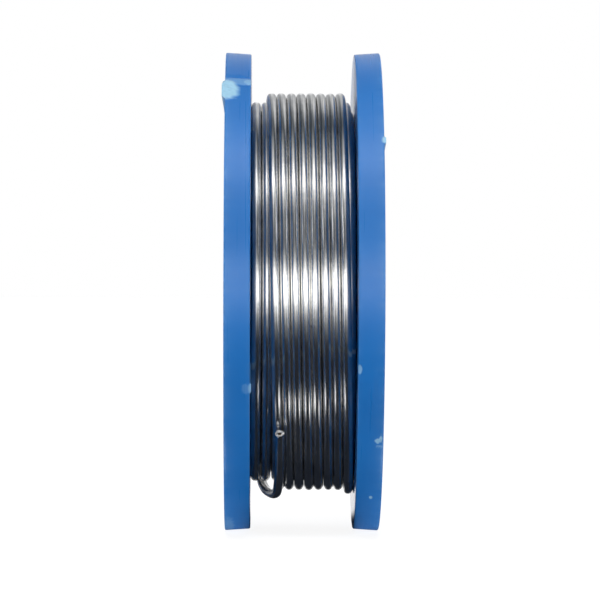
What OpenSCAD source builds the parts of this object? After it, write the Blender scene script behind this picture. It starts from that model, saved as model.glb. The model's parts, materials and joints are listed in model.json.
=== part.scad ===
// Solder wire spool.
// A small moulded reel in two like halves, pegged together at mid width. It carries
// flux-cored solder wire wound in layers, with the last turn pulled loose and cut.
// +X runs along the reel's axis and +Z is up, with the reel standing on its two rims.
// The origin is the middle of the bore.

/* [Reel] */
// Diameter of both flanges, at their outer faces
flange_d = 50; // [48:0.5:60]
// Width over both flanges
reel_w = 16; // [14:0.5:24]
// Thickness of a flange at its rim
flange_t = 2.65; // [2.2:0.05:3.6]
// Radius lost between a rim's outer and inner corner
rim_draft = 0.15; // [0.05:0.05:0.4]
// Rounding of the rim's corners
rim_round = 0.15; // [0.1:0.05:0.5]
// Radial width of the raised rim round a flange's outer face
rim_w = 2.4; // [1.6:0.1:4]
// Thickness of the web between the rim and the barrel
web_t = 1.3; // [0.9:0.05:1.8]
// Diameter of the anchor hole for the start of the wire
anchor_d = 1.9; // [1.7:0.05:2.2]

/* [Hub] */
// Diameter of the spindle bore
bore_d = 10.2; // [8:0.1:11]
// Wall of the bore tube
bore_wall = 1.4; // [1:0.05:1.6]
// Chamfer at the mouth of the bore
bore_chamfer = 0.3; // [0.1:0.05:0.6]
// Outer diameter of the barrel that the wire is wound on
barrel_d = 20; // [19:0.5:22]
// Wall of the barrel
barrel_wall = 1.3; // [1:0.05:1.5]
// Thickness of the floor that closes each hub pocket at mid width
floor_t = 1.2; // [0.8:0.1:2]
// Number of ribs across each hub pocket
rib_count = 6; // [6:6:12]
// Thickness of a rib
rib_t = 0.8; // [0.6:0.1:1.2]
// Depth of the ribs' edges below the web's outer face
rib_drop = 0.8; // [0.2:0.1:2]
// Diameter of the pegs that hold the halves together
peg_d = 1.4; // [1:0.1:1.6]
// Length of a peg beyond the floor that it goes through
peg_lead = 0.6; // [0.2:0.1:1.2]

/* [Wire] */
// Diameter of the solder wire
wire_d = 1; // [0.8:0.05:1.1]
// Number of whole layers under the two that show
hidden_layers = 10; // [8:1:11]
// Diameter of the flux core in the wire
core_d = 0.36; // [0.2:0.02:0.5]
// Length of the straight cut tip
tip_l = 2.65; // [1.6:0.05:4]
// Length of the start tail that lies on the flange's web
tail_l = 7; // [4:0.5:9]

/* [Hidden] */

// Clearance round a peg and round the hidden layers
peg_gap = 0.05;
seat_gap = 0.02;

plastic = [0.16, 0.47, 0.79];
tin = [0.62, 0.63, 0.65];
rosin = [0.36, 0.25, 0.12];

flange_r = flange_d / 2;
half_w = reel_w / 2;
gap_half = half_w - flange_t;
gap_w = 2 * gap_half;
web_out = gap_half + web_t;
rim_in_r = flange_r - rim_w;
bore_r = bore_d / 2;
hub_r = bore_r + bore_wall;
barrel_r = barrel_d / 2;
pocket_r = barrel_r - barrel_wall;
peg_circle_r = (hub_r + pocket_r) / 2;
peg_count = 3;
edge = 0.2;
root_round = 0.3;

// A strand nests between two strands of the layer below, so a layer rises by less
// than a wire's thickness. The top layer crosses the one below and rises more.
nest_rise = 0.887 * wire_d;
cross_rise = 0.93 * wire_d;
lower_r = barrel_r + wire_d / 2 + hidden_layers * nest_rise;
upper_r = lower_r + cross_rise;

// The lower layer fills the width. It closes up a little at the top, where its last
// turn leaves the right flange, and its first turns bow off the left flange in front.
wall_x = gap_half - wire_d / 2;
lower_turns = floor((gap_w - wire_d) / (1.04 * wire_d)) + 1;
lower_pitch = 2 * wall_x / (lower_turns - 1);
top_pull = 0.38 * wire_d;
top_pitch = (2 * wall_x - top_pull) / (lower_turns - 1);
lower_bow = 0.12 * wire_d;

// The upper layer starts at the right flange and stops short of the left one. Most
// of each turn's step is made on the front, which is where the strands lean, and
// there they also bow to the left.
upper_turns = lower_turns - 2;
lean = 0.43;
upper_end_x = 2.1 * wire_d - gap_half;
upper_pitch = (wall_x - upper_end_x) / (upper_turns - 0.5 + lean);
upper_bow = 0.13 * wire_d;
climb = 1.33 * wire_d;

// Strands are swept with flats facing in and out, so that crossing ones stay clear
sides = 8;
rings_per_turn = 36;

// The hidden layers stay clear of the strands that cross them
pack_r = lower_r - 0.6 * wire_d;
pack_groove = 0.32 * wire_d;
pack_half = gap_half - seat_gap;
pack_bore_r = barrel_r + seat_gap;

// The free end's route: degrees round the reel from the bottom, then the rise over
// the upper layer and the distance from the left flange, both in wire diameters
free_route = [
    [180, 0.00, 2.10], [210, 0.03, 1.88], [240, 0.07, 1.52], [270, 0.10, 1.20],
    [300, 0.05, 1.06], [325, 0.00, 1.06], [338, 0.03, 1.12], [348, 0.24, 1.34],
    [356, 0.58, 1.80], [364, 0.84, 2.38], [374, 0.99, 2.78], [386, 1.02, 2.93],
    [401, 1.02, 2.98]
];
free_steps = 5;
free_end_at = free_route[len(free_route) - 1];

// The start tail leaves the winding by the anchor hole and lies along the web
anchor_turn = 0.42;
anchor_r = barrel_r + anchor_d / 2 + 0.2;
tail_bend_r = 1.9 * wire_d;
tail_x = gap_half + tail_bend_r;

function mix(a, b, t) = a + (b - a) * t;
function ease(t) = t * t * (3 - 2 * t);
function unit(v) = v / norm(v);

// A point at a number of turns from the bottom, going up the front (-Y)
function around(turn, r, x) = [x, -r * sin(360 * turn), -r * cos(360 * turn)];

// Points of an arc in a profile, from angle a to angle b
function arc(c, r, a, b, n = 4) =
    [for (i = [0:n]) c + r * [cos(mix(a, b, i / n)), sin(mix(a, b, i / n))]];

// How far a bow has grown: whole at the front, and none over the back half
function bowed(turn) = max(0, sin(360 * turn)) ^ 2;

// Place of the lower layer's strand across the width
function bottom_x(n) = -wall_x + lower_pitch * n;
function top_x(n) = -wall_x + top_pitch * n;
function lower_x(turn) =
    let (n = floor(turn), f = turn - n)
    f < 0.5 ? mix(bottom_x(n), top_x(n), ease(2 * f))
                  + lower_bow * (1 - n / (lower_turns - 1)) * bowed(f)
            : mix(top_x(n), bottom_x(n + 1), ease(2 * f - 1));

// Place and radius of the upper layer's strand. Below zero turns it climbs up from
// the end of the lower layer.
function upper_x(turn) =
    turn < 0 ? mix(top_x(lower_turns - 1), wall_x, ease(2 * turn + 1))
             : wall_x - upper_bow * bowed(turn)
                   - upper_pitch * (turn + lean * (1 - cos(360 * turn)) / 2);
function upper_at(turn) =
    turn < 0 ? lower_r + climb * sin(90 * (2 * turn + 1))
             : mix(lower_r + climb, upper_r, ease(min(1, 2 * turn)));

// A Catmull-Rom curve through the rows of a route
function row(route, i) = route[max(0, min(len(route) - 1, i))];
function spline(route, i, t) =
    let (a = row(route, i - 1), b = row(route, i), c = row(route, i + 1), d = row(route, i + 2))
    0.5 * (2 * b + (c - a) * t + (2 * a - 5 * b + 4 * c - d) * t * t
           + (3 * b - a - 3 * c + d) * t * t * t);
function smooth_route(route, steps) = concat(
    [for (i = [0:len(route) - 2]) for (s = [0:steps - 1]) spline(route, i, s / steps)],
    [row(route, len(route))]);

// Direction of a path at its point i
function along(path, i) =
    unit(path[min(len(path) - 1, i + 1)] - path[max(0, i - 1)]);

// One ring of a swept wire, with a flat towards the reel's axis
function ring(p, direction) =
    let (out = [0, p[1], p[2]],
         n = unit(out - direction * (out * direction)),
         b = cross(direction, n))
    [for (k = [0:sides - 1])
        let (a = 360 * (k + 0.5) / sides)
        p + wire_d / 2 * (n * cos(a) + b * sin(a))];

// A wire swept along a path of points
module swept_wire(path) {
    last = len(path) - 1;
    points = [for (i = [0:last]) each ring(path[i], along(path, i))];
    walls = [
        for (i = [0:last - 1]) for (k = [0:sides - 1])
            let (next = (k + 1) % sides)
            [i * sides + k, (i + 1) * sides + k, (i + 1) * sides + next, i * sides + next]
    ];
    start_cap = [for (k = [0:sides - 1]) k];
    end_cap = [for (k = [sides - 1:-1:0]) last * sides + k];
    polyhedron(points, concat(walls, [start_cap, end_cap]), convexity = 10);
}

// Outline of half the reel, from the bore outwards: [radius, distance from mid width]
half_profile = concat(
    [[bore_r, 0], [barrel_r, 0]],
    arc([barrel_r + root_round, gap_half - root_round], root_round, 180, 90),
    arc([flange_r - rim_draft - rim_round, gap_half + rim_round], rim_round, -90, 0),
    arc([flange_r - rim_round, half_w - rim_round], rim_round, 0, 90),
    [[rim_in_r + edge, half_w], [rim_in_r, half_w - edge]],
    arc([rim_in_r - root_round, web_out + root_round], root_round, 0, -90),
    [[pocket_r + edge, web_out], [pocket_r, web_out - edge], [pocket_r, floor_t],
     [hub_r, floor_t], [hub_r, half_w - edge], [hub_r - edge, half_w],
     [bore_r + bore_chamfer, half_w], [bore_r, half_w - bore_chamfer]]
);

// Places a child round the hub, in the half's own frame
module at_hub(angle, r) {
    rotate([0, 0, angle]) translate([r, 0, 0]) children();
}

// A rib from the bore tube to the barrel, let into both walls
module rib() {
    sunk = 0.3;
    top = web_out - rib_drop;
    translate([hub_r - sunk, -rib_t / 2, floor_t / 2])
        cube([pocket_r - hub_r + 2 * sunk, rib_t, top - floor_t / 2]);
}

// A peg with a chamfered nose, which goes through the other half's floor
module peg() {
    nose = 0.25;
    reach = floor_t + peg_lead;
    translate([0, 0, nose - reach]) cylinder(d = peg_d, h = reach - nose + floor_t / 2, $fn = 32);
    translate([0, 0, -reach]) cylinder(d1 = peg_d - 2 * nose, d2 = peg_d, h = nose, $fn = 32);
}

// One moulded half: its axis is Z here, and its outer face is at +half_w. Pegs and
// peg holes alternate, so that the same moulding turned round makes the other half.
module reel_half() {
    peg_step = 360 / peg_count;
    rib_step = 360 / rib_count;
    difference() {
        union() {
            rotate_extrude($fn = 96) polygon(half_profile);
            for (k = [0:rib_count - 1]) at_hub(k * rib_step, 0) rib();
            for (k = [0:peg_count - 1]) at_hub(30 + k * peg_step, peg_circle_r) peg();
        }
        for (k = [0:peg_count - 1])
            at_hub(90 + k * peg_step, peg_circle_r)
                translate([0, 0, -1]) cylinder(d = peg_d + 2 * peg_gap, h = floor_t + 2, $fn = 32);
        at_hub(anchor_angle, anchor_r)
            translate([0, 0, gap_half - 1]) cylinder(d = anchor_d, h = web_t + 2, $fn = 32);
    }
}

// Angle of the anchor hole in the half's own frame, from its place round the reel
anchor_angle = 360 * anchor_turn;

module right_reel_half() {
    color(plastic) rotate([0, 90, 0]) reel_half();
}

module left_reel_half() {
    color(plastic) rotate([0, 0, 180]) rotate([0, 90, 0]) reel_half();
}

// The hidden layers, taken together as one pack with the turns' grooves outside
module inner_winding() {
    corner = root_round + seat_gap;
    groove_r = pack_r - pack_groove;
    strand_r = wire_d / 2;
    color(tin) rotate([0, 90, 0]) rotate_extrude($fn = 96) {
        polygon([
            [pack_bore_r, corner - pack_half], [pack_bore_r + corner, -pack_half],
            [groove_r, -pack_half], [groove_r, pack_half],
            [pack_bore_r + corner, pack_half], [pack_bore_r, pack_half - corner]
        ]);
        for (n = [0:lower_turns - 1])
            translate([pack_r - strand_r, mix(strand_r - pack_half, pack_half - strand_r,
                                              n / (lower_turns - 1))])
                circle(r = strand_r, $fn = 32);
    }
}

module lower_layer() {
    first = -0.04;
    last = lower_turns - 0.5;
    steps = round((last - first) * rings_per_turn);
    color(tin) swept_wire([
        for (i = [0:steps])
            let (turn = mix(first, last, i / steps))
            around(turn, lower_r, turn < 0 ? -wall_x : lower_x(turn))
    ]);
}

module upper_layer() {
    first = -0.5;
    last = upper_turns - 0.5;
    steps = round((last - first) * rings_per_turn);
    color(tin) swept_wire([
        for (i = [0:steps])
            let (turn = mix(first, last, i / steps))
            around(turn, upper_at(turn), upper_x(turn))
    ]);
}

// A row of the free end's route as a point
function free_point(row) =
    around(row[0] / 360, upper_r + row[1] * wire_d, row[2] * wire_d - gap_half);

module free_end() {
    color(tin) swept_wire([
        for (row = smooth_route(free_route, free_steps)) free_point(row)
    ]);
}

// Places a child at the end of the free end, with +Z along the wire
module at_tip() {
    translate(free_point(free_end_at)) rotate([90 - free_end_at[0], 0, 0])
        translate([0, 0, seat_gap]) children();
}

// The straight tip left by the cutters, bored for the flux
module cut_tip() {
    color(tin) at_tip() difference() {
        cylinder(d = wire_d, h = tip_l, $fn = 32);
        translate([0, 0, tip_l / 2]) cylinder(d = core_d, h = tip_l, $fn = 24);
    }
}

// The flux core, broken off a little inside the tip
module flux_core() {
    sunk = 0.15;
    color(rosin) at_tip() translate([0, 0, tip_l / 2])
        cylinder(d = core_d - seat_gap, h = tip_l / 2 - sunk, $fn = 24);
}

// The start of the wire, out through the anchor hole and bent along the web
module start_tail() {
    entry = -gap_half - seat_gap;
    r = anchor_r;
    turn_of = function (s) anchor_turn + s / (2 * PI * r);
    hole_offset = 0.28;
    color(tin) swept_wire(concat(
        [for (a = [0:15:90])
            around(turn_of(tail_bend_r * (1 - cos(a)) - hole_offset), r,
                   entry - tail_bend_r * sin(a))],
        [for (s = [0.2:0.2:1])
            around(turn_of(tail_bend_r - hole_offset + s * tail_l), r + s * s,
                   entry - tail_bend_r)]
    ));
}

left_reel_half();
right_reel_half();
inner_winding();
lower_layer();
upper_layer();
free_end();
cut_tip();
flux_core();
start_tail();
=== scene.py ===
"""Dresses a small reel of flux-cored solder wire, wound in layers with its last turn pulled loose and cut.

Everything is in metres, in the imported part's own frame: +X runs along the reel's axis, +Z is up, and the
origin is the middle of the bore. The front, which the camera faces, is -Y. A place round the reel is given
in turns or degrees from the bottom, going up the front.
"""

import json
import logging
import math
from contextlib import contextmanager
from dataclasses import dataclass
from enum import Enum
from typing import Callable
from typing import Iterator
from typing import Sequence

import bpy
import numpy as np
from mathutils import Matrix
from mathutils import Vector
from mathutils import noise

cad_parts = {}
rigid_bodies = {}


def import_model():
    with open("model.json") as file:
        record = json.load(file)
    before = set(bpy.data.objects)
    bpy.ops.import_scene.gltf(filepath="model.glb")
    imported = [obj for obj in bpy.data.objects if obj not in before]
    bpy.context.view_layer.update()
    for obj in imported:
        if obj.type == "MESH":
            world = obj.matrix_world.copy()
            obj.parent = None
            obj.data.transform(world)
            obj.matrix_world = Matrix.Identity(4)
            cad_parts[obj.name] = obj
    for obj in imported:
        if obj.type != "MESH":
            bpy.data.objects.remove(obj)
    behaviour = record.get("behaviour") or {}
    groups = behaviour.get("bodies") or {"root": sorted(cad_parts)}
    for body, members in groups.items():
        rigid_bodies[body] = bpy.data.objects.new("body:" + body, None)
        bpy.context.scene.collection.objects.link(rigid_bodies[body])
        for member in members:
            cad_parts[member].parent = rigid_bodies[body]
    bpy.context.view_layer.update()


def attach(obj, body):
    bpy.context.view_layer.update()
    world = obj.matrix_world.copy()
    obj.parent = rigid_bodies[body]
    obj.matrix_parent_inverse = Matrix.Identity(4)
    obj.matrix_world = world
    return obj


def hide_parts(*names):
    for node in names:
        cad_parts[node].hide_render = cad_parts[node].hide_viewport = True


MM = 0.001
BODY = "root"
LOG = logging.getLogger("solder_reel")

FLANGE_R = 25.0 * MM
BARREL_R = 10.0 * MM
GAP_HALF = 5.35 * MM
ANCHOR_R = 11.15 * MM
ANCHOR_TURN = 0.42
FLOOR_Z = -FLANGE_R

# Sockets of the Mix node that stand for colours, by number because several have the same name.
MIX_SHARE = 0
MIX_FIRST = 6
MIX_SECOND = 7
MIXED_COLOUR = 2

WAVE_SPREAD = (0.85, 1.15)
WAVE_SIZES = (0.5, 1.0)
TINY = 1e-6

Colour = tuple[float, float, float]
Point = tuple[float, float, float]
Span = tuple[float, float]
Array = np.ndarray
Node = bpy.types.Node
Piece = bpy.types.Object
Source = Node | tuple[Node, str]
Value = Source | float | Colour

BLACK: Colour = (0.0, 0.0, 0.0)
WHITE: Colour = (1.0, 1.0, 1.0)


class Slot(Enum):
    """The record's material slots."""

    PLASTIC = "reel_plastic"
    SOLDER = "solder"
    FLUX = "flux"


class Side(Enum):
    """The two halves of the reel, with the sign of the side of the mid plane that each lies on."""

    LEFT = -1
    RIGHT = 1

    @property
    def node(self) -> str:
        """Name of the CAD node that this half stands for."""
        return f"{self.name.lower()}_reel_half"


def mix(a: Array | float, b: Array | float, t: Array | float) -> Array | float:
    """A value between a and b, at share t of the way."""
    return a + (b - a) * t


def ease(t: Array | float) -> Array | float:
    """A share from 0 to 1 that starts and stops gently."""
    return t * t * (3 - 2 * t)


def around(turn: Array, r: Array | float, x: Array | float) -> Array:
    """Points at a number of turns from the bottom, going up the front.

    Args:
        turn: Turns from the bottom.
        r: Distance from the reel's axis.
        x: Place along the axis.

    Returns:
        One row of three coordinates for each turn.
    """
    angle = 2 * math.pi * np.asarray(turn, float)
    across = np.broadcast_to(x, angle.shape)
    return np.stack([across, -r * np.sin(angle), -r * np.cos(angle)], axis=-1)


def smooth_noise(at: Array, longest: float, shortest: float, seed: int, waves: int = 9) -> Array:
    """A smooth random line, made of seeded waves and about 1 high at most.

    Args:
        at: Places along the line.
        longest: Longest wavelength.
        shortest: Shortest wavelength.
        seed: Seed of the waves' lengths and phases.
        waves: Number of waves.

    Returns:
        The line's height at each place.
    """
    draw = np.random.default_rng(seed)
    lengths = np.geomspace(longest, shortest, waves) * draw.uniform(*WAVE_SPREAD, waves)
    phases = draw.uniform(0, 2 * math.pi, waves)
    sizes = draw.uniform(*WAVE_SIZES, waves)
    total = sum(s * np.sin(2 * math.pi * at / w + p) for s, w, p in zip(sizes, lengths, phases))
    return total / math.sqrt(waves)


def deselect_all() -> None:
    """Leaves no object selected, so that the next operator acts on its own piece alone."""
    for other in bpy.context.view_layer.objects:
        other.select_set(False)


def take(piece: Piece) -> None:
    """Makes a piece the only selected and active object.

    Args:
        piece: The piece that the next operator acts on.
    """
    deselect_all()
    piece.select_set(True)
    bpy.context.view_layer.objects.active = piece


@contextmanager
def editing(piece: Piece, kind: str, chosen: Sequence[bool] | None = None) -> Iterator[None]:
    """Holds a piece in edit mode.

    Args:
        piece: The mesh object to edit.
        kind: What is selected: VERT, EDGE or FACE.
        chosen: Whether each vertex, edge or face is selected; all of them where nothing is given.

    Yields:
        Nothing; the piece is in edit mode meanwhile.
    """
    take(piece)
    mesh = piece.data
    parts = {"VERT": mesh.vertices, "EDGE": mesh.edges, "FACE": mesh.polygons}
    for name, part in parts.items():
        flags = np.full(len(part), chosen is None)
        if name == kind and chosen is not None:
            flags = np.array(chosen, bool)
        part.foreach_set("select", flags)
    bpy.context.tool_settings.mesh_select_mode = [name == kind for name in parts]
    bpy.ops.object.mode_set(mode="EDIT")
    yield
    bpy.ops.object.mode_set(mode="OBJECT")


def settle(piece: Piece) -> None:
    """Moves a piece's place, turn and scale into its mesh."""
    take(piece)
    bpy.ops.object.transform_apply(location=True, rotation=True, scale=True)


def join(pieces: Sequence[Piece]) -> Piece:
    """Joins several pieces into the first one.

    Args:
        pieces: The pieces, of which only the first is kept.

    Returns:
        The first piece, with all of the others in it.
    """
    deselect_all()
    for piece in pieces:
        piece.select_set(True)
    bpy.context.view_layer.objects.active = pieces[0]
    bpy.ops.object.join()
    return pieces[0]


def added(primitive: Callable, name: str, **settings: float | str | Sequence[float]) -> Piece:
    """Adds a primitive by itself.

    Args:
        primitive: The operator that adds it.
        name: The new piece's name.
        settings: What the operator is told.

    Returns:
        The new piece.
    """
    deselect_all()
    primitive(**settings)
    piece = bpy.context.object
    piece.name = name
    return piece


def soften(piece: Piece, chosen: Sequence[bool], width: float) -> None:
    """Bevels the edges that lie between chosen vertices.

    Args:
        piece: The mesh object to bevel.
        chosen: Whether each vertex is chosen; an edge counts where both of its ends are.
        width: Width of the bevel.
    """
    edges = [all(chosen[v] for v in edge.vertices) for edge in piece.data.edges]
    with editing(piece, "EDGE", edges):
        bpy.ops.mesh.bevel(offset=width, segments=2)


def dress(piece: Piece, material: bpy.types.Material, slot: Slot, smooth: float, *nodes: str) -> None:
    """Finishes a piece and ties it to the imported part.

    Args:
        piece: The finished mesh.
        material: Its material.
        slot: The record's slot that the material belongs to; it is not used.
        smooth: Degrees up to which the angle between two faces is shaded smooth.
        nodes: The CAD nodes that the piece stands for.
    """
    take(piece)
    bpy.ops.object.shade_smooth_by_angle(angle=math.radians(smooth))
    piece.data.materials.clear()
    piece.data.materials.append(material)
    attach(piece, BODY)
    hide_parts(*nodes)
    LOG.info("%s: %d faces", piece.name, len(piece.data.polygons))


def carve(piece: Piece, tool: Piece, operation: str) -> None:
    """Adds a tool's solid to a piece or cuts it out, and removes the tool.

    Args:
        piece: The piece that is changed.
        tool: The closed solid that is added or cut out.
        operation: UNION or DIFFERENCE.
    """
    take(piece)
    step = piece.modifiers.new("carve", "BOOLEAN")
    step.operation = operation
    step.solver = "EXACT"
    step.object = tool
    bpy.ops.object.modifier_apply(modifier=step.name)
    bpy.data.objects.remove(tool)


class Recipe:
    """A node tree, with short calls to add nodes and link them.

    A source is a node, which stands for its main output, or a node with the name of one of its outputs.
    """

    def __init__(self, owner: bpy.types.Material | bpy.types.World) -> None:
        """Empties the node tree of a material or a world.

        Args:
            owner: The material or world.
        """
        owner.use_nodes = True
        self.owner = owner
        self.tree = owner.node_tree
        self.shader: Node | None = None
        self.place: Node | None = None
        self.tree.nodes.clear()

    @classmethod
    def surface(cls, name: str) -> "Recipe":
        """A new material with a Principled shader at its output and the piece's own coordinates at hand.

        Args:
            name: The material's name.

        Returns:
            The recipe.
        """
        recipe = cls(bpy.data.materials.new(name))
        recipe.shader = recipe.add("BsdfPrincipled")
        recipe.finish(recipe.shader)
        recipe.place = recipe.add("TexCoord")
        return recipe

    def finish(self, shader: Node) -> None:
        """Sends a shader to the output of the material or world."""
        is_world = isinstance(self.owner, bpy.types.World)
        self.add("OutputWorld" if is_world else "OutputMaterial", values={"Surface": shader})

    def add(self, kind: str, settings: dict | None = None, values: dict | None = None) -> Node:
        """Adds a node.

        Args:
            kind: The node's type, without the prefix that all of them share.
            settings: Properties of the node.
            values: A number, colour or source for each input that isn't left as it is.

        Returns:
            The new node.
        """
        node = self.tree.nodes.new(f"ShaderNode{kind}")
        for key, value in (settings or {}).items():
            setattr(node, key, value)
        for key, value in (values or {}).items():
            self.feed(node, key, value)
        return node

    def feed(self, node: Node, into: str | int, value: Value) -> None:
        """Sets a node's input to a number or a linear colour, or links it to a source.

        Args:
            node: The node.
            into: Name or number of the input.
            value: A number, a linear colour or a source.
        """
        if isinstance(value, Node):
            value = (value, MIXED_COLOUR if value.bl_idname == "ShaderNodeMix" else 0)
        socket = node.inputs[into]
        if isinstance(value, tuple) and isinstance(value[0], Node):
            source, out = value
            self.tree.links.new(source.outputs[out], socket)
        else:
            socket.default_value = (*value, 1.0) if socket.type == "RGBA" else value

    def axes(self, vector: Source) -> Node:
        """Takes a vector apart into its X, Y and Z."""
        return self.add("SeparateXYZ", values={"Vector": vector})

    def math(self, operation: str, *values: Value) -> Node:
        """Works out a value from one or two others."""
        return self.add("Math", {"operation": operation}, dict(enumerate(values)))

    def grain(self, scale: float, detail: float, stretch: Point = (1, 1, 1),
              on: Source | None = None) -> Node:
        """Noise over the piece's own coordinates or over others.

        Args:
            scale: How fine it is, the same along each axis.
            detail: How many finer octaves it has.
            stretch: How much finer again it is along each axis.
            on: Coordinates that it follows, where they aren't the piece's own.

        Returns:
            The noise, as a node.
        """
        source = (self.place, "Object") if on is None else on
        mapped = self.add("Mapping", values={"Vector": source, "Scale": stretch})
        return self.add("TexNoise", values={"Vector": mapped, "Scale": scale, "Detail": detail})

    def ramp(self, source: Source, stops: Sequence[tuple[float, Colour]]) -> Node:
        """A colour ramp over a value.

        Args:
            source: The value.
            stops: Place and linear colour of each stop.

        Returns:
            The ramp.
        """
        node = self.add("ValToRGB", values={"Fac": source})
        elements = node.color_ramp.elements
        while len(elements) < len(stops):
            elements.new(0.5)
        for element, (position, colour) in zip(elements, stops):
            element.position = position
            element.color = (*colour, 1.0)
        return node

    def blend(self, share: Source, first: Value, second: Value) -> Node:
        """Mixes two colours, each a linear colour or a source."""
        values = {MIX_SHARE: share, MIX_FIRST: first, MIX_SECOND: second}
        return self.add("Mix", {"data_type": "RGBA"}, values)

    def level(self, source: Source, low: float, high: float) -> Node:
        """Stretches a value from the range 0 to 1 to another range."""
        return self.add("MapRange", values={"Value": source, "To Min": low, "To Max": high})

    def step(self, source: Source, edge: Span) -> Node:
        """A soft step from 0 at an edge's first value to 1 at its last."""
        first, last = edge
        return self.add("MapRange", {"interpolation_type": "SMOOTHSTEP"},
                        {"Value": source, "From Min": first, "From Max": last})

    def relief(self, source: Source, depth: float, strength: float, under: Node | None = None) -> Node:
        """A bump over a value.

        Args:
            source: The value.
            depth: Height that the value's range stands for.
            strength: How much of the bump is kept.
            under: A bump that it lies on.

        Returns:
            The bump.
        """
        values = {"Height": source, "Distance": depth, "Strength": strength}
        if under is not None:
            values["Normal"] = under
        return self.add("Bump", values=values)


@dataclass(frozen=True)
class MouldedPlastic:
    """Polystyrene moulded in one blue, a little worn, with whitened nicks, a painted sheen along the rim's
    corners and smoother side faces.
    """

    colour: Colour = (0.005, 0.205, 0.67)
    deep: Colour = (0.003, 0.18, 0.61)
    pale: Colour = (0.40, 0.72, 0.95)
    ior: float = 1.59
    roughness: float = 0.3
    smoother: float = 0.08
    rougher: float = 0.1
    polish: float = 0.14
    side_face: Span = (0.85, 0.97)
    cloud: float = 140
    cloud_detail: float = 4
    cloud_range: Span = (-0.6, 1.5)
    skin: float = 2600
    skin_detail: float = 3
    streaks: Point = (5200, 70, 70)
    streak_detail: float = 2
    skin_depth: float = 0.02 * MM
    skin_strength: float = 0.25
    streak_depth: float = 0.03 * MM
    streak_strength: float = 0.05

    def make(self) -> bpy.types.Material:
        """Makes the material, which reads the piece's attribute of wear and painted edge sheen.

        Returns:
            The material.
        """
        recipe = Recipe.surface("blue_moulded_plastic")
        shader = recipe.shader
        cloud = recipe.grain(self.cloud, self.cloud_detail)
        body = recipe.blend(recipe.level(cloud, *self.cloud_range), self.deep, self.colour)
        # Paler where the rim is scuffed or chipped, and where a sheen on its corners is painted in.
        wear_and_sheen = recipe.add("Attribute", {"attribute_name": "wear_and_sheen"})
        recipe.feed(shader, "Base Color", recipe.blend((wear_and_sheen, "Fac"), body, self.pale))
        streak = recipe.grain(1, self.streak_detail, self.streaks)
        rough = recipe.level(streak, self.roughness - self.smoother, self.roughness + self.rougher)
        facing = recipe.axes((recipe.place, "Normal"))
        sideways = recipe.math("ABSOLUTE", (facing, "X"))
        first, last = self.side_face
        face = recipe.ramp(sideways, [(first, BLACK), (last, WHITE)])
        smoothed = recipe.math("MULTIPLY", face, self.polish)
        recipe.feed(shader, "Roughness", recipe.math("SUBTRACT", rough, smoothed))
        shader.inputs["IOR"].default_value = self.ior
        fine = recipe.relief(recipe.grain(self.skin, self.skin_detail), self.skin_depth, self.skin_strength)
        recipe.feed(shader, "Normal", recipe.relief(streak, self.streak_depth, self.streak_strength, fine))
        return recipe.owner


@dataclass(frozen=True)
class DrawnSolder:
    """Tin alloy wire: soft grey metal with the die's lengthwise marks and a light tarnish."""

    bright: Colour = (0.93, 0.92, 0.9)
    dull: Colour = (0.76, 0.76, 0.765)
    roughness: float = 0.2
    smoother: float = 0.07
    rougher: float = 0.12
    drawn: float = 0.55
    quarter_turn: float = 0.25
    tarnish: float = 330
    tarnish_edge: Span = (0.34, 0.56)
    specks: float = 2400
    speck_detail: float = 2
    die_marks: Point = (90, 34, 1)
    detail: float = 4
    mark_depth: float = 0.03 * MM
    mark_strength: float = 0.35
    speck_depth: float = 0.02 * MM
    speck_strength: float = 0.2

    def make(self) -> bpy.types.Material:
        """Makes the material, which reads the wire's own coordinates along and round it.

        Returns:
            The material.
        """
        recipe = Recipe.surface("drawn_solder")
        shader = recipe.shader
        shader.inputs["Metallic"].default_value = 1.0
        shader.inputs["Anisotropic"].default_value = self.drawn
        shader.inputs["Anisotropic Rotation"].default_value = self.quarter_turn
        recipe.feed(shader, "Tangent", recipe.add("Tangent", {"direction_type": "UV_MAP", "uv_map": "wire"}))
        wire = recipe.add("UVMap", {"uv_map": "wire"})
        draw = recipe.grain(1, self.detail, self.die_marks, wire)
        first, last = self.tarnish_edge
        tone = recipe.ramp(recipe.grain(self.tarnish, self.detail), [(first, self.dull), (last, self.bright)])
        recipe.feed(shader, "Base Color", tone)
        rough = recipe.level(draw, self.roughness - self.smoother, self.roughness + self.rougher)
        recipe.feed(shader, "Roughness", rough)
        lines = recipe.relief(draw, self.mark_depth, self.mark_strength)
        speck = recipe.grain(self.specks, self.speck_detail)
        pits = recipe.relief(speck, self.speck_depth, self.speck_strength, lines)
        recipe.feed(shader, "Normal", pits)
        return recipe.owner


@dataclass(frozen=True)
class Rosin:
    """Flux: brown, hard and a little glassy."""

    colour: Colour = (0.17, 0.1, 0.035)
    dark: Colour = (0.05, 0.03, 0.012)
    roughness: float = 0.32
    crumbs: float = 5200
    crumb_detail: float = 3
    crumb_edge: Span = (0.35, 0.65)
    crumb_depth: float = 0.04 * MM
    crumb_strength: float = 0.5

    def make(self) -> bpy.types.Material:
        """Makes the material.

        Returns:
            The material.
        """
        recipe = Recipe.surface("rosin_flux")
        crumb = recipe.grain(self.crumbs, self.crumb_detail)
        first, last = self.crumb_edge
        tone = recipe.ramp(crumb, [(first, self.dark), (last, self.colour)])
        recipe.feed(recipe.shader, "Base Color", tone)
        recipe.shader.inputs["Roughness"].default_value = self.roughness
        recipe.feed(recipe.shader, "Normal", recipe.relief(crumb, self.crumb_depth, self.crumb_strength))
        return recipe.owner


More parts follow.
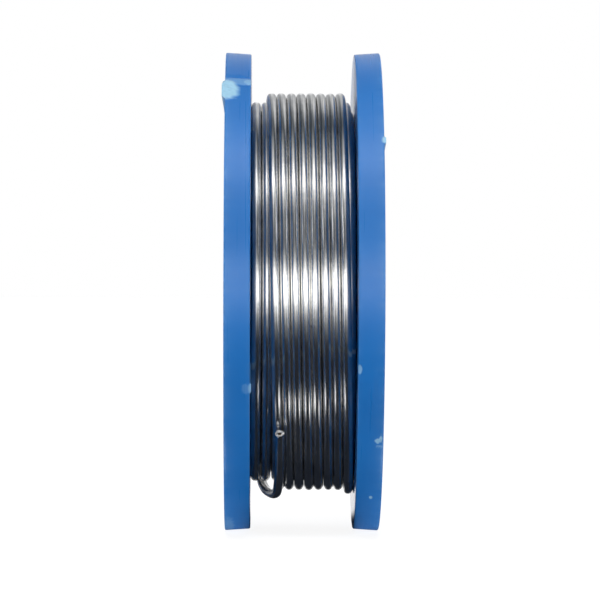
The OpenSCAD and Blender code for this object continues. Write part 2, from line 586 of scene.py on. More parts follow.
@dataclass
class SolderWire:
    """The whole wire: its start tail, ten hidden layers, the two layers that show, and the cut free end.

    Each point of the free route holds its degrees, its rise above the top layer and its place from the left
    flange, the last two in diameters of the wire.
    """

    wire_d: float = 1.0 * MM
    gap_half: float = GAP_HALF
    barrel_r: float = BARREL_R
    hidden_layers: int = 10
    turns_a_layer: int = 10
    nest_rise: float = 0.887 * MM
    cross_rise: float = 0.93 * MM
    climb: float = 1.33 * MM
    top_pull: float = 0.38 * MM
    lower_bow: float = 0.12 * MM
    lean: float = 0.43
    upper_turns: int = 8
    upper_end_x: float = -3.25 * MM
    upper_bow: float = 0.13 * MM
    anchor_turn: float = ANCHOR_TURN
    anchor_r: float = ANCHOR_R
    hole_offset: float = 0.28 * MM
    tail_bend_r: float = 1.9 * MM
    inner_bend_r: float = 0.9 * MM
    seat_gap: float = 0.02 * MM
    start_turn: float = 0.58
    tail_l: float = 7.0 * MM
    tail_blunt: float = 0.86
    tail_round: float = 0.06 * MM
    tip_l: float = 2.65 * MM
    core_d: float = 0.36 * MM
    burr_turned: float = 0.45
    burr_spread: float = 0.35
    burr_flare: float = 0.5 / MM
    whole_l: float = 11.35
    sides: int = 20
    hidden_rings: int = 20
    seen_under_rings: int = 60
    seen_rings: int = 110
    tail_rings: int = 24
    tail_rise: float = 1.0 * MM
    bend_rings: int = 12
    inner_bend_rings: int = 9
    lap_rings: int = 12
    tip_rings: int = 9
    wobble: float = 0.022 * MM
    wobble_waves: Span = (3.1, 0.17)
    wobble_seed: int = 11
    heave: float = 0.0132 * MM
    heave_waves: Span = (2.3, 0.15)
    heave_seed: int = 23
    calm_end: float = 0.2
    smooth: float = 50
    free_route: Sequence[Point] = (
        (180, 0.00, 2.10), (210, 0.03, 1.88), (240, 0.07, 1.52), (270, 0.10, 1.20),
        (300, 0.05, 1.06), (325, 0.00, 1.05), (338, 0.03, 1.06), (348, 0.22, 1.18),
        (356, 0.56, 1.58), (363, 0.84, 2.20), (372, 1.00, 2.72), (386, 1.02, 2.93),
        (401, 1.02, 2.98),
    )

    @property
    def wall_x(self) -> float:
        """Place of a strand that touches a flange."""
        return self.gap_half - self.wire_d / 2

    @property
    def lower_r(self) -> float:
        """Radius of the first layer that shows."""
        return self.barrel_r + self.wire_d / 2 + self.hidden_layers * self.nest_rise

    @property
    def upper_r(self) -> float:
        """Radius of the top layer."""
        return self.lower_r + self.cross_rise

    def bottom_x(self, n: Array) -> Array:
        """Place of a full layer's strand n at the bottom."""
        return 2 * self.wall_x / (self.turns_a_layer - 1) * n - self.wall_x

    def top_x(self, n: Array | int) -> Array:
        """Place of a full layer's strand n at the top, where the layer closes up a little."""
        return (2 * self.wall_x - self.top_pull) / (self.turns_a_layer - 1) * n - self.wall_x

    @staticmethod
    def bowed(turn: Array) -> Array:
        """How far a bow has grown: whole at the front, and none over the back half."""
        return np.maximum(0, np.sin(2 * math.pi * turn)) ** 2

    def full_layer(self, turn: Array) -> tuple[Array, Array]:
        """Radius and place of the wire in the full layers.

        Args:
            turn: Turns from the wire's start, ten to a layer.

        Returns:
            The radius, and the place along the axis, which runs from side to side and back. The hidden
            layers step sideways a quarter of a turn later, so that they lie under the gaps of the next layer.
        """
        layer = np.floor(turn / self.turns_a_layer)
        inside = turn - layer * self.turns_a_layer
        late = np.clip(np.minimum(inside, self.turns_a_layer - 0.5 - inside), 0, 1) / 4
        placed = inside - np.where(layer < self.hidden_layers, late, 0)
        n = np.floor(placed)
        f = placed - n
        bow = self.lower_bow * (1 - n / (self.turns_a_layer - 1)) * self.bowed(f)
        going_up = mix(self.bottom_x(n), self.top_x(n), ease(2 * f)) + bow
        going_down = mix(self.top_x(n), self.bottom_x(n + 1), ease(2 * f - 1))
        x = np.where(f < 0.5, going_up, going_down)
        share = ease(np.clip(2 * (inside - self.turns_a_layer) + 1, 0, 1))
        climbing = inside > self.turns_a_layer - 0.5
        x = np.where(climbing, mix(self.top_x(self.turns_a_layer - 1), self.wall_x, share), x)
        side = np.where(layer % 2 == 0, 1, -1)
        r = self.barrel_r + self.wire_d / 2 + self.nest_rise * (layer + share)
        return r, side * x

    def top_layer(self, turn: Array) -> tuple[Array, Array]:
        """Radius and place of the wire in the top layer.

        Args:
            turn: Turns from the start of the top layer, which the wire climbs into over the half turn before.

        Returns:
            The radius, and the place along the axis.
        """
        pitch = (self.wall_x - self.upper_end_x) / (self.upper_turns - 0.5 + self.lean)
        wound = self.wall_x - pitch * (turn + self.lean * (1 - np.cos(2 * math.pi * turn)) / 2)
        wound -= self.upper_bow * self.bowed(turn)
        share = np.clip(2 * turn + 1, 0, 1)
        rising = mix(self.top_x(self.turns_a_layer - 1), self.wall_x, ease(share))
        x = np.where(turn < 0, rising, wound)
        up = self.lower_r + self.climb * np.sin(math.pi / 2 * share)
        over = mix(self.lower_r + self.climb, self.upper_r, ease(np.clip(2 * turn, 0, 1)))
        return np.where(turn < 0, up, over), x

    def stations(self) -> Array:
        """Turns at which the winding has a ring, closer together where it shows.

        Returns:
            Turns from the wire's start.
        """
        per_layer = self.turns_a_layer
        under = per_layer * (self.hidden_layers - 1)
        seen = per_layer * self.hidden_layers
        end = per_layer * (self.hidden_layers + 1) + self.upper_turns - 0.5
        return np.concatenate([
            np.arange(self.start_turn, under, 1 / self.hidden_rings),
            np.arange(under, seen, 1 / self.seen_under_rings),
            np.arange(seen, end - TINY, 1 / self.seen_rings),
        ])

    def winding(self) -> Array:
        """Centre line of all that is wound, with the small unevenness of a machine-wound reel.

        Returns:
            Its points.
        """
        turn = self.stations()
        crossing = self.turns_a_layer * (self.hidden_layers + 1)
        r, x = self.full_layer(turn)
        top_r, top_x = self.top_layer(turn - crossing)
        on_top = turn >= crossing - 0.5
        r = np.where(on_top, top_r, r)
        x = np.where(on_top, top_x, x)
        last = crossing + self.upper_turns - 0.5
        calm = np.clip((last - turn) / self.calm_end, 0, 1) * np.clip(turn - turn[0], 0, 1)
        x = x + calm * self.wobble * smooth_noise(turn, *self.wobble_waves, self.wobble_seed)
        r = r + calm * self.heave * smooth_noise(turn, *self.heave_waves, self.heave_seed)
        x = np.clip(x, -self.wall_x, self.wall_x)
        return around(turn, r, x)

    def free_points(self, steps: int = 16) -> Array:
        """Centre line of the loose last turn, on a smooth curve through its route.

        Args:
            steps: Points from one place of the route to the next.

        Returns:
            Its points.
        """
        rows = np.array(self.free_route)
        padded = np.concatenate([rows[:1], rows, rows[-1:]])
        share = np.arange(steps)[:, None] / steps
        spans = []
        for a, b, c, d in zip(padded, padded[1:], padded[2:], padded[3:]):
            square = 2 * a - 5 * b + 4 * c - d
            cube = 3 * b - a - 3 * c + d
            spans.append(0.5 * (2 * b + (c - a) * share + square * share**2 + cube * share**3))
        smooth = np.concatenate([*spans, rows[-1:]])
        rise = self.upper_r + smooth[:, 1] * self.wire_d
        return around(smooth[:, 0] / 360, rise, smooth[:, 2] * self.wire_d - self.gap_half)

    def tip_frame(self) -> tuple[Array, Array]:
        """Point where the straight tip starts, and its direction.

        Returns:
            The point and the direction.
        """
        angle = math.radians(self.free_route[-1][0])
        direction = np.array([0.0, -math.cos(angle), math.sin(angle)])
        return self.free_points()[-1], direction

    def start_points(self) -> Array:
        """Centre line of the start: the tail, the bends through the anchor hole and the first lap.

        Returns:
            Its points.
        """
        entry = -self.gap_half - self.seat_gap

        def turn_of(s: Array) -> Array:
            """Turn at a distance past the anchor hole."""
            return self.anchor_turn + s / (2 * math.pi * self.anchor_r)

        out = np.linspace(1, 0, self.tail_rings)[:-1]
        tail = around(turn_of(self.tail_bend_r - self.hole_offset + out * self.tail_l),
                      self.anchor_r + out**2 * self.tail_rise, entry - self.tail_bend_r)
        bend = np.radians(np.linspace(90, 0, self.bend_rings))
        outer = around(turn_of(self.tail_bend_r * (1 - np.cos(bend)) - self.hole_offset), self.anchor_r,
                       entry - self.tail_bend_r * np.sin(bend))
        turned = np.radians(np.linspace(0, 90, self.inner_bend_rings))[1:]
        inner = around(turn_of(self.inner_bend_r * (1 - np.cos(turned)) - self.hole_offset), self.anchor_r,
                       entry + self.inner_bend_r * np.sin(turned))
        share = np.linspace(0, 1, self.lap_rings)[1:-1]
        lap = mix(turn_of(self.inner_bend_r - self.hole_offset), self.start_turn, share)
        down = mix(self.anchor_r, self.barrel_r + self.wire_d / 2, ease(share))
        settled = around(lap, down, mix(entry + self.inner_bend_r, -self.wall_x, ease(share)))
        return np.concatenate([tail, outer, inner, settled])

    def centre_line(self) -> Array:
        """Centre line of the whole wire, from the end of the tail to the cut face.

        Returns:
            Its points.
        """
        foot, direction = self.tip_frame()
        straight = np.linspace(0, self.tip_l, self.tip_rings)[1:, None] * direction
        return np.concatenate([self.start_points(), self.winding(), self.free_points(), foot + straight])

    def angles(self) -> Array:
        """Angles of the section's corners, from the side that faces the reel's axis."""
        return math.pi + 2 * math.pi * np.arange(self.sides) / self.sides

    def spokes(self, out: Array, side: Array) -> Array:
        """Directions of the section's corners, given one outward and one sideways normal or a row of each."""
        angles = self.angles()[:, None]
        return np.cos(angles) * out[..., None, :] + np.sin(angles) * side[..., None, :]

    def rings(self, line: Array) -> tuple[Array, Array, Array, Array]:
        """Frames of the rings along the wire.

        Args:
            line: The centre line.

        Returns:
            Distance along the wire, direction, outward normal and sideways normal of each ring.
        """
        steps = np.linalg.norm(np.diff(line, axis=0), axis=1)
        length = np.concatenate([[0], np.cumsum(steps)])
        direction = np.gradient(line, length, axis=0)
        direction /= np.linalg.norm(direction, axis=1, keepdims=True)
        out = line * [0, 1, 1]
        out = out - direction * np.sum(out * direction, axis=1, keepdims=True)
        out /= np.linalg.norm(out, axis=1, keepdims=True)
        return length, direction, out, np.cross(direction, out)

    def cut_profile(self) -> list[Point]:
        """The cut face in section, from its worn rim inwards to the bottom of the flux hole.

        Returns:
            Radius of each ring, how far ahead it stands, and how much further the burr pushes it.
        """
        core = self.core_d / 2
        half = self.wire_d / 2
        return [
            (0.985 * half, 0.03 * MM, 0.05 * MM), (0.93 * half, 0.055 * MM, 0.11 * MM),
            (0.84 * half, 0.05 * MM, 0.06 * MM), (0.6 * half, 0.03 * MM, 0.0),
            (core + 0.02 * MM, 0.015 * MM, 0.0), (core, -0.02 * MM, 0.0), (core, -0.3 * MM, 0.0),
        ]

    def cut_rings(self, centre: Array, direction: Array, out: Array, side: Array) -> list[Array]:
        """Rings of the cut face.

        Args:
            centre: Centre of the last full ring.
            direction: Direction of the tip.
            out: Outward normal there.
            side: Sideways normal there.

        Returns:
            One array of points for each ring.
        """
        spokes = self.spokes(out, side)
        lip = np.exp(-((np.cos(self.angles() - self.burr_turned) - 1) / self.burr_spread) ** 2)
        found = []
        for r, ahead, burr in self.cut_profile():
            along = (ahead + burr * lip)[:, None] * direction
            found.append(centre + r * (1 + self.burr_flare * burr * lip)[:, None] * spokes + along)
        return found

    def sweep(self) -> tuple[Piece, Array]:
        """Sweeps the wire's section along its centre line.

        Returns:
            The piece, and the centre line that it follows.
        """
        line = self.centre_line()
        length, direction, out, side = self.rings(line)
        tube = line[:, None, :] + self.wire_d / 2 * self.spokes(out, side)
        blunt = line[0] + self.tail_blunt * (tube[0] - line[0])
        tube[0] += self.tail_round * direction[0]
        cut = self.cut_rings(line[-1], direction[-1], out[-1], side[-1])
        points = np.concatenate([blunt[None], tube, np.array(cut)]).reshape(-1, 3)
        ring_count = len(line) + 1 + len(cut)
        along = np.concatenate([[0], length, np.full(len(cut), length[-1])])
        mesh = self.skin(points, ring_count, along)
        piece = bpy.data.objects.new("solder_wire", mesh)
        bpy.context.scene.collection.objects.link(piece)
        return piece, line

    def skin(self, points: Array, ring_count: int, along: Array) -> bpy.types.Mesh:
        """Makes the wire's mesh from its rings, with coordinates along and round it.

        Args:
            points: All points, ring after ring.
            ring_count: Number of rings.
            along: Distance along the wire of each ring.

        Returns:
            The closed mesh.
        """
        rows = np.arange(ring_count - 1)[:, None, None] + np.array([0, 0, 1, 1])
        spots = np.arange(self.sides)[None, :, None] + np.array([0, 1, 1, 0])
        quads = (rows * self.sides + spots % self.sides).reshape(-1, 4)
        caps = np.array([np.arange(self.sides)[::-1], (ring_count - 1) * self.sides + np.arange(self.sides)])
        mesh = bpy.data.meshes.new("solder_wire")
        mesh.from_pydata(points.tolist(), [], quads.tolist() + caps.tolist())
        corners = np.stack(np.broadcast_arrays(along[rows], spots / self.sides), axis=-1).reshape(-1, 2)
        ends = np.repeat([[along[0], 0.5], [along[-1], 0.5]], self.sides, axis=0)
        layer = mesh.uv_layers.new(name="wire")
        layer.data.foreach_set("uv", np.concatenate([corners, ends]).astype(np.float32).ravel())
        mesh.update()
        return mesh

    def build(self, finish: DrawnSolder, flux: Piece) -> Piece:
        """Args:
            finish: The wire's finish.
            flux: The flux core; it is not used.

        Returns:
            The wire.
        """
        piece, line = self.sweep()
        dress(piece, finish.make(), Slot.SOLDER, self.smooth, "inner_winding", "lower_layer", "upper_layer",
              "free_end", "cut_tip", "start_tail")
        return piece


@dataclass
class FluxCore:
    """The flux in the hole of the cut tip, broken off a little inside it."""

    wire: SolderWire
    clearance: float = 0.01 * MM
    sunk: float = 0.15 * MM
    length: float = 1.0 * MM
    crumb: float = 0.05 * MM
    crumb_grain: float = 0.08 * MM
    facing: float = 0.9
    sides: int = 20
    smooth: float = 35

    def build(self, finish: Rosin) -> Piece:
        """Models the core as a short rod with a crumbled end, and dresses it.

        Args:
            finish: The flux's finish.

        Returns:
            The core.
        """
        foot, direction = self.wire.tip_frame()
        end = Vector(foot + direction * (self.wire.tip_l - self.sunk))
        along = Vector(direction)
        turn = along.to_track_quat("Z", "Y").to_euler()
        piece = added(bpy.ops.mesh.primitive_cylinder_add, "flux_core_end", vertices=self.sides,
                      radius=self.wire.core_d / 2 - self.clearance, depth=self.length,
                      location=end - along * self.length / 2, rotation=turn)
        settle(piece)
        with editing(piece, "FACE", [face.normal.dot(along) > self.facing for face in piece.data.polygons]):
            bpy.ops.mesh.inset(thickness=self.crumb)
            bpy.ops.mesh.inset(thickness=self.crumb)
        for vertex in piece.data.vertices:
            if (vertex.co - end).dot(along) > -self.length / 2:
                vertex.co += along * noise.noise(vertex.co / self.crumb_grain) * self.crumb
        dress(piece, finish.make(), Slot.FLUX, self.smooth, "flux_core")
        return piece


@dataclass(frozen=True)
class RimMark:
    """A nick, chip or scratch on a rim, at some degrees round the reel and some way across from mid width.

    It reaches so far to either end and is so wide to either side. A mark that is sunk by less than nothing
    stands out. It is the squarer the firmer it is, and its edge is the sharper the crisper it is.
    """

    degrees: float
    across: float
    reach: float
    width: float
    sunk: float = 0.0
    pushed_out: float = 0.0
    pale: float = 0.0
    firm: float = 2.0
    crisp: float = 3.0


@dataclass
class ReelMoulding:
    """The moulding that makes either half of the reel, modelled on the right-hand side."""

    flange_r: float = FLANGE_R
    half_w: float = 8.0 * MM
    gap_half: float = GAP_HALF
    rim_draft: float = 0.15 * MM
    rim_round: float = 0.15 * MM
    rim_in_r: float = 22.6 * MM
    web_out: float = 6.65 * MM
    bore_r: float = 5.1 * MM
    hub_r: float = 6.5 * MM
    bore_chamfer: float = 0.3 * MM
    barrel_r: float = BARREL_R
    pocket_r: float = 8.7 * MM
    floor_t: float = 1.2 * MM
    edge: float = 0.2 * MM
    root_round: float = 0.3 * MM
    rib_count: int = 6
    rib_t: float = 0.8 * MM
    rib_drop: float = 0.8 * MM
    peg_count: int = 3
    peg_r: float = 0.7 * MM
    peg_gap: float = 0.05 * MM
    peg_lead: float = 0.6 * MM
    peg_degrees: float = 30
    peg_hole_degrees: float = 90
    soft_edge: float = 0.12 * MM
    near_end: float = 0.01 * MM
    peg_nose: float = 0.25 * MM
    anchor_hole_r: float = 0.95 * MM
    anchor_r: float = ANCHOR_R
    anchor_degrees: float = 360 * ANCHOR_TURN
    steps: int = 360
    rim_rows: int = 10

    @property
    def peg_circle_r(self) -> float:
        """Radius of the circle that the pegs stand on."""
        return (self.hub_r + self.pocket_r) / 2

    @staticmethod
    def arc(r: float, x: float, radius: float, first: float, last: float, count: int = 5) -> list[Span]:
        """Points of an arc in the profile, as distance from the axis and place along it."""
        angles = np.radians(np.linspace(first, last, count))
        return [(r + radius * math.cos(a), x + radius * math.sin(a)) for a in angles]

    def profile(self) -> list[Span]:
        """Outline of the half in section, as distance from the axis and place along it.

        Returns:
            One pair for each corner.
        """
        seam = 0.06 * MM
        inner = self.arc(self.flange_r - self.rim_draft - self.rim_round, self.gap_half + self.rim_round,
                         self.rim_round, -90, 0)
        outer = self.arc(self.flange_r - self.rim_round, self.half_w - self.rim_round, self.rim_round, 0, 90)
        shares = np.linspace(0, 1, self.rim_rows + 1)[1:-1]
        rim = [(mix(inner[-1][0], outer[0][0], s), mix(inner[-1][1], outer[0][1], s)) for s in shares]
        root = self.root_round
        return [
            (self.bore_r + seam, 0), (self.barrel_r, 0),
            *self.arc(self.barrel_r + root, self.gap_half - root, root, 180, 90),
            *inner, *rim, *outer,
            (self.rim_in_r + self.edge, self.half_w), (self.rim_in_r, self.half_w - self.edge),
            *self.arc(self.rim_in_r - root, self.web_out + root, root, 0, -90),
            (self.pocket_r + self.edge, self.web_out), (self.pocket_r, self.web_out - self.edge),
            (self.pocket_r, self.floor_t), (self.hub_r, self.floor_t),
            (self.hub_r, self.half_w - self.edge), (self.hub_r - self.edge, self.half_w),
            (self.bore_r + self.bore_chamfer, self.half_w), (self.bore_r, self.half_w - self.bore_chamfer),
            (self.bore_r, seam),
        ]

    def at(self, degrees: float, r: float, x: float) -> Vector:
        """A point of the moulding, at degrees from the bottom going up the back."""
        a = math.radians(degrees)
        return Vector((x, r * math.sin(a), -r * math.cos(a)))

    def lathe(self) -> Piece:
        """Spins the profile round the axis into the half's body.

        Returns:
            The body, still without ribs, pegs and holes.
        """
        profile = self.profile()
        piece = added(bpy.ops.mesh.primitive_circle_add, "reel_moulding", vertices=len(profile),
                      radius=self.flange_r, fill_type="NOTHING")
        for vertex, (r, x) in zip(piece.data.vertices, profile):
            vertex.co = (x, 0, -r)
        with editing(piece, "EDGE"):
            bpy.ops.mesh.spin(steps=self.steps, angle=2 * math.pi, center=(0, 0, 0), axis=(1, 0, 0))
            bpy.ops.mesh.select_all(action="SELECT")
            bpy.ops.mesh.remove_doubles(threshold=0.001 * MM)
            bpy.ops.mesh.normals_make_consistent(inside=False)
        return piece

    def rod(self, name: str, degrees: float, r: float, radius: float, low: float, high: float,
            corners: int = 40) -> Piece:
        """A round rod along X, as a peg or as the cutter for a hole.

        Args:
            name: The rod's name.
            degrees: Place round the reel.
            r: Distance from the reel's axis.
            radius: The rod's radius.
            low: Where it starts along X.
            high: Where it ends.
            corners: Number of its sides.

        Returns:
            The rod.
        """
        piece = added(bpy.ops.mesh.primitive_cylinder_add, name, vertices=corners, radius=radius,
                      depth=high - low, location=self.at(degrees, r, (low + high) / 2),
                      rotation=(0, math.pi / 2, 0))
        settle(piece)
        return piece

    def rib(self, degrees: float) -> Piece:
        """A rib from the bore tube to the barrel, with its open edge softened.

        Args:
            degrees: Place round the reel.

        Returns:
            The rib.
        """
        sunk = 0.3 * MM
        top = self.web_out - self.rib_drop
        low = self.floor_t / 2
        middle = (self.hub_r + self.pocket_r) / 2
        piece = added(bpy.ops.mesh.primitive_cube_add, "rib", size=1, rotation=(math.radians(degrees), 0, 0),
                      location=self.at(degrees, middle, (low + top) / 2))
        piece.scale = (top - low, self.rib_t, self.pocket_r - self.hub_r + 2 * sunk)
        settle(piece)
        soften(piece, [vertex.co.x > top - self.near_end for vertex in piece.data.vertices], self.soft_edge)
        return piece

    def peg(self, degrees: float) -> Piece:
        """A peg with a chamfered nose, which reaches through the other half's floor.

        Args:
            degrees: Place round the reel.

        Returns:
            The peg.
        """
        foot = self.floor_t / 2
        tip = -self.floor_t - self.peg_lead
        piece = self.rod("peg", degrees, self.peg_circle_r, self.peg_r, tip, foot, 32)
        soften(piece, [vertex.co.x < tip + self.near_end for vertex in piece.data.vertices], self.peg_nose)
        return piece

    def build(self) -> Piece:
        """Models the whole moulding.

        Returns:
            The moulding, as the right-hand half.
        """
        piece = self.lathe()
        rib_step = 360 / self.rib_count
        peg_step = 360 / self.peg_count
        grown = [self.rib(k * rib_step) for k in range(self.rib_count)]
        grown += [self.peg(self.peg_degrees + k * peg_step) for k in range(self.peg_count)]
        carve(piece, join(grown), "UNION")
        beyond = 1 * MM
        hole_r = self.peg_r + self.peg_gap
        cut = [self.rod("drill", self.peg_hole_degrees + k * peg_step, self.peg_circle_r, hole_r,
                        -beyond, self.floor_t + beyond) for k in range(self.peg_count)]
        cut.append(self.rod("drill", self.anchor_degrees, self.anchor_r, self.anchor_hole_r,
                            self.gap_half - beyond, self.web_out + beyond))
        carve(piece, join(cut), "DIFFERENCE")
        LOG.info("%s: %d faces", piece.name, len(piece.data.polygons))
        return piece


@dataclass
class ReelHalf:
    """One half of the reel, with the wear that its rim has taken, and a painted sheen along the rim's
    corners.
    """

    moulding: ReelMoulding
    side: Side
    marks: Sequence[RimMark]
    rim_depth: float = 1.2 * MM
    marked_depth: float = 0.6 * MM
    coarse: float = 0.15 * MM
    margin: float = 1.3
    spare_along: float = 0.4 * MM
    spare_across: float = 0.25 * MM
    # Paleness at the rim's outer and inner corners: partly scuffing, partly a painted sheen where the rounded
    # edges would catch the light.
    outer_scuff_and_sheen: float = 0.1
    outer_fade: float = 0.42 * MM
    inner_scuff_and_sheen: float = 0.07
    inner_fade: float = 0.2 * MM
    grit: float = 0.4 * MM
    ragged: float = 0.6
    uneven: float = 0.35
    blotchy: float = 0.08
    scuff_waves: Span = (60, 0.9)
    scuff_count: int = 16
    scuff_seed: int = 41
    scuff_change: float = 0.6
    most_scuffed: float = 0.4
    cuts: int = 5
    smooth: float = 32

    def place(self, master: Piece) -> Piece:
        """Copies the moulding to this half's side of the mid plane.

        Args:
            master: The moulding.

        Returns:
            The copy.
        """
        piece = master.copy()
        piece.data = master.data.copy()
        piece.name = f"{self.side.name.lower()}_half_shell"
        bpy.context.scene.collection.objects.link(piece)
        if self.side is Side.LEFT:
            piece.data.transform(Matrix.Rotation(math.pi, 4, "Z"))
        return piece

    def polar(self, points: Array) -> tuple[Array, Array, Array]:
        """Degrees round the reel, radius and distance from mid width of each point."""
        degrees = np.degrees(np.arctan2(-points[:, 1], -points[:, 2]))
        return degrees, np.hypot(points[:, 1], points[:, 2]), points[:, 0] * self.side.value

    def offsets(self, mark: RimMark, degrees: Array, x: Array) -> tuple[Array, Array]:
        """Distances from a mark's middle, along the rim and across it."""
        along = np.radians((degrees - mark.degrees + 180) % 360 - 180) * self.moulding.flange_r
        return along, x - mark.across

    def refine(self, piece: Piece) -> None:
        """Divides the rim's coarse faces more finely round each mark.

        Args:
            piece: The half.
        """
        for mark in self.marks:
            faces = piece.data.polygons
            centre = np.empty(len(faces) * 3)
            area = np.empty(len(faces))
            faces.foreach_get("center", centre)
            faces.foreach_get("area", area)
            degrees, r, x = self.polar(centre.reshape(-1, 3))
            along, over = self.offsets(mark, degrees, x)
            near = np.abs(along) < self.margin * mark.reach + self.spare_along
            near &= np.abs(over) < self.margin * mark.width + self.spare_across
            near &= (r > self.moulding.flange_r - self.marked_depth) & (area > self.coarse**2)
            with editing(piece, "FACE", near):
                bpy.ops.mesh.subdivide(number_cuts=self.cuts)

    def scuff_and_sheen(self, degrees: Array, x: Array) -> Array:
        """How pale the rim is towards its corners, partly from scuffing and partly from a painted sheen on
        its rounded edges.

        Args:
            degrees: Degrees round the reel.
            x: Distance from mid width.

        Returns:
            How pale each place is.
        """
        slow = smooth_noise(degrees, *self.scuff_waves, self.scuff_seed + self.side.value, self.scuff_count)
        outer = self.outer_scuff_and_sheen * np.exp((x - self.moulding.half_w) / self.outer_fade)
        inner = self.inner_scuff_and_sheen * np.exp((self.moulding.gap_half - x) / self.inner_fade)
        return np.clip((outer + inner) * (1 + self.scuff_change * slow), 0, self.most_scuffed)

    def wear_and_sheen(self, piece: Piece) -> None:
        """Cuts and raises the marks, and notes how pale each vertex is, from its scuffs and chips and from
        the painted edge sheen.

        Args:
            piece: The half.
        """
        mesh = piece.data
        co = np.empty(len(mesh.vertices) * 3)
        mesh.vertices.foreach_get("co", co)
        co = co.reshape(-1, 3)
        degrees, r, x = self.polar(co)
        on_rim = r > self.moulding.flange_r - self.rim_depth
        outward = co * [0, 1, 1] / np.maximum(r, TINY)[:, None]
        rough = np.array([noise.noise(Vector(p) / self.grit) for p in co.tolist()])
        # Start from the corners' paleness, which is scuffing plus painted edge sheen; the marks' whitening
        # goes on top.
        pale = self.scuff_and_sheen(degrees, x) * on_rim
        moved = np.zeros((len(r), 3))
        for mark in self.marks:
            along, over = self.offsets(mark, degrees, x)
            far = np.abs(along / mark.reach) ** mark.firm + np.abs(over / mark.width) ** mark.firm
            inside = mark.crisp * (1 - far ** (1 / mark.firm))
            share = ease(np.clip(inside + 0.5 - self.ragged * rough, 0, 1)) * on_rim
            moved -= (mark.sunk * share * (1 + self.uneven * rough))[:, None] * outward
            moved[:, 0] += self.side.value * mark.pushed_out * share
            pale = np.maximum(pale, mark.pale * share * (1 + self.blotchy * rough))
        mesh.vertices.foreach_set("co", (co + moved).ravel())
        # The attribute holds the scuffs, the chips' whitening and the painted edge sheen together.
        wear_and_sheen = mesh.attributes.new("wear_and_sheen", "FLOAT", "POINT")
        wear_and_sheen.data.foreach_set("value", np.clip(pale, 0, 1).astype(np.float32))
        mesh.update()

    def build(self, master: Piece, material: bpy.types.Material) -> Piece:
        """Makes this half from the shared moulding and dresses it.

        Args:
            master: The moulding.
            material: The halves' material.

        Returns:
            The half.
        """
        piece = self.place(master)
        self.refine(piece)
        self.wear_and_sheen(piece)
        dress(piece, material, Slot.PLASTIC, self.smooth, self.side.node)
        return piece


@dataclass(frozen=True)
class Viewpoint:
    """The camera, at the height of the reel's middle and nearly square to its axis."""

    eye: Point = (-3.961 * MM, -400 * MM, 0.0)
    yaw: float = 0.0094
    pitch: float = -0.0022
    roll: float = 0.0028
    lens: float = 228.6
    sensor: float = 36
    nearest: float = 0.01
    farthest: float = 20

    def build(self) -> None:
        """Makes the camera and gives it to the scene."""
        ahead = Vector((math.sin(self.yaw) * math.cos(self.pitch), math.cos(self.yaw) * math.cos(self.pitch),
                        math.sin(self.pitch)))
        level = Vector((math.cos(self.yaw), -math.sin(self.yaw), 0))
        above = level.cross(ahead)
        right = math.cos(self.roll) * level + math.sin(self.roll) * above
        up = right.cross(ahead)
        view = bpy.data.cameras.new("camera")
        view.lens = self.lens
        view.sensor_width = self.sensor
        view.clip_start = self.nearest
        view.clip_end = self.farthest
        camera = bpy.data.objects.new("camera", view)
        bpy.context.scene.collection.objects.link(camera)
        place = Matrix((right, up, -ahead)).transposed().to_4x4()
        place.translation = Vector(self.eye)
        camera.matrix_world = place
        bpy.context.scene.camera = camera


@dataclass(frozen=True)
class Lamp:
    """A soft box that faces the reel. Shiny surfaces show the light tent in its place.

    The azimuth is in degrees round to the right from the front, the elevation in degrees above the horizon,
    and the radiance is the brightness of its face, where 1 shows as white.
    """

    name: str
    azimuth: float
    elevation: float
    width: float
    height: float
    radiance: float
    distance: float = 0.9

    def build(self) -> None:
        """Hangs the lamp."""
        turned, raised = math.radians(self.azimuth), math.radians(self.elevation)
        light = bpy.data.lights.new(self.name, "AREA")
        light.shape = "RECTANGLE"
        light.size, light.size_y = self.width, self.height
        light.energy = self.radiance * math.pi * self.width * self.height
        lamp = bpy.data.objects.new(self.name, light)
        level = math.cos(raised)
        outward = Vector((math.sin(turned) * level, -math.cos(turned) * level, math.sin(raised)))
        lamp.location = outward * self.distance
        lamp.rotation_euler = (math.pi / 2 - raised, 0, turned)
        lamp.visible_camera = False
        lamp.visible_glossy = False
        bpy.context.scene.collection.objects.link(lamp)


LAMPS = (
    Lamp("front_soft_box", 0, 3, 0.25, 0.4, 9.0),
    Lamp("top_front_strip", 0, 60, 0.25, 0.3, 6.9),
    Lamp("left_side_box", -100, 10, 0.4, 0.5, 5.4),
    Lamp("right_side_box", 100, 10, 0.4, 0.5, 5.4),
)


def seen_directly(recipe: Recipe) -> Node:
    """A value that is 1 for what the camera, shiny metal and clear pieces see.

    Args:
        recipe: The node tree that it is for.

    Returns:
        The value.
    """
    path = recipe.add("LightPath")
    shiny = recipe.math("MAXIMUM", (path, "Is Camera Ray"), (path, "Is Glossy Ray"))
    return recipe.math("MAXIMUM", shiny, (path, "Is Transmission Ray"))


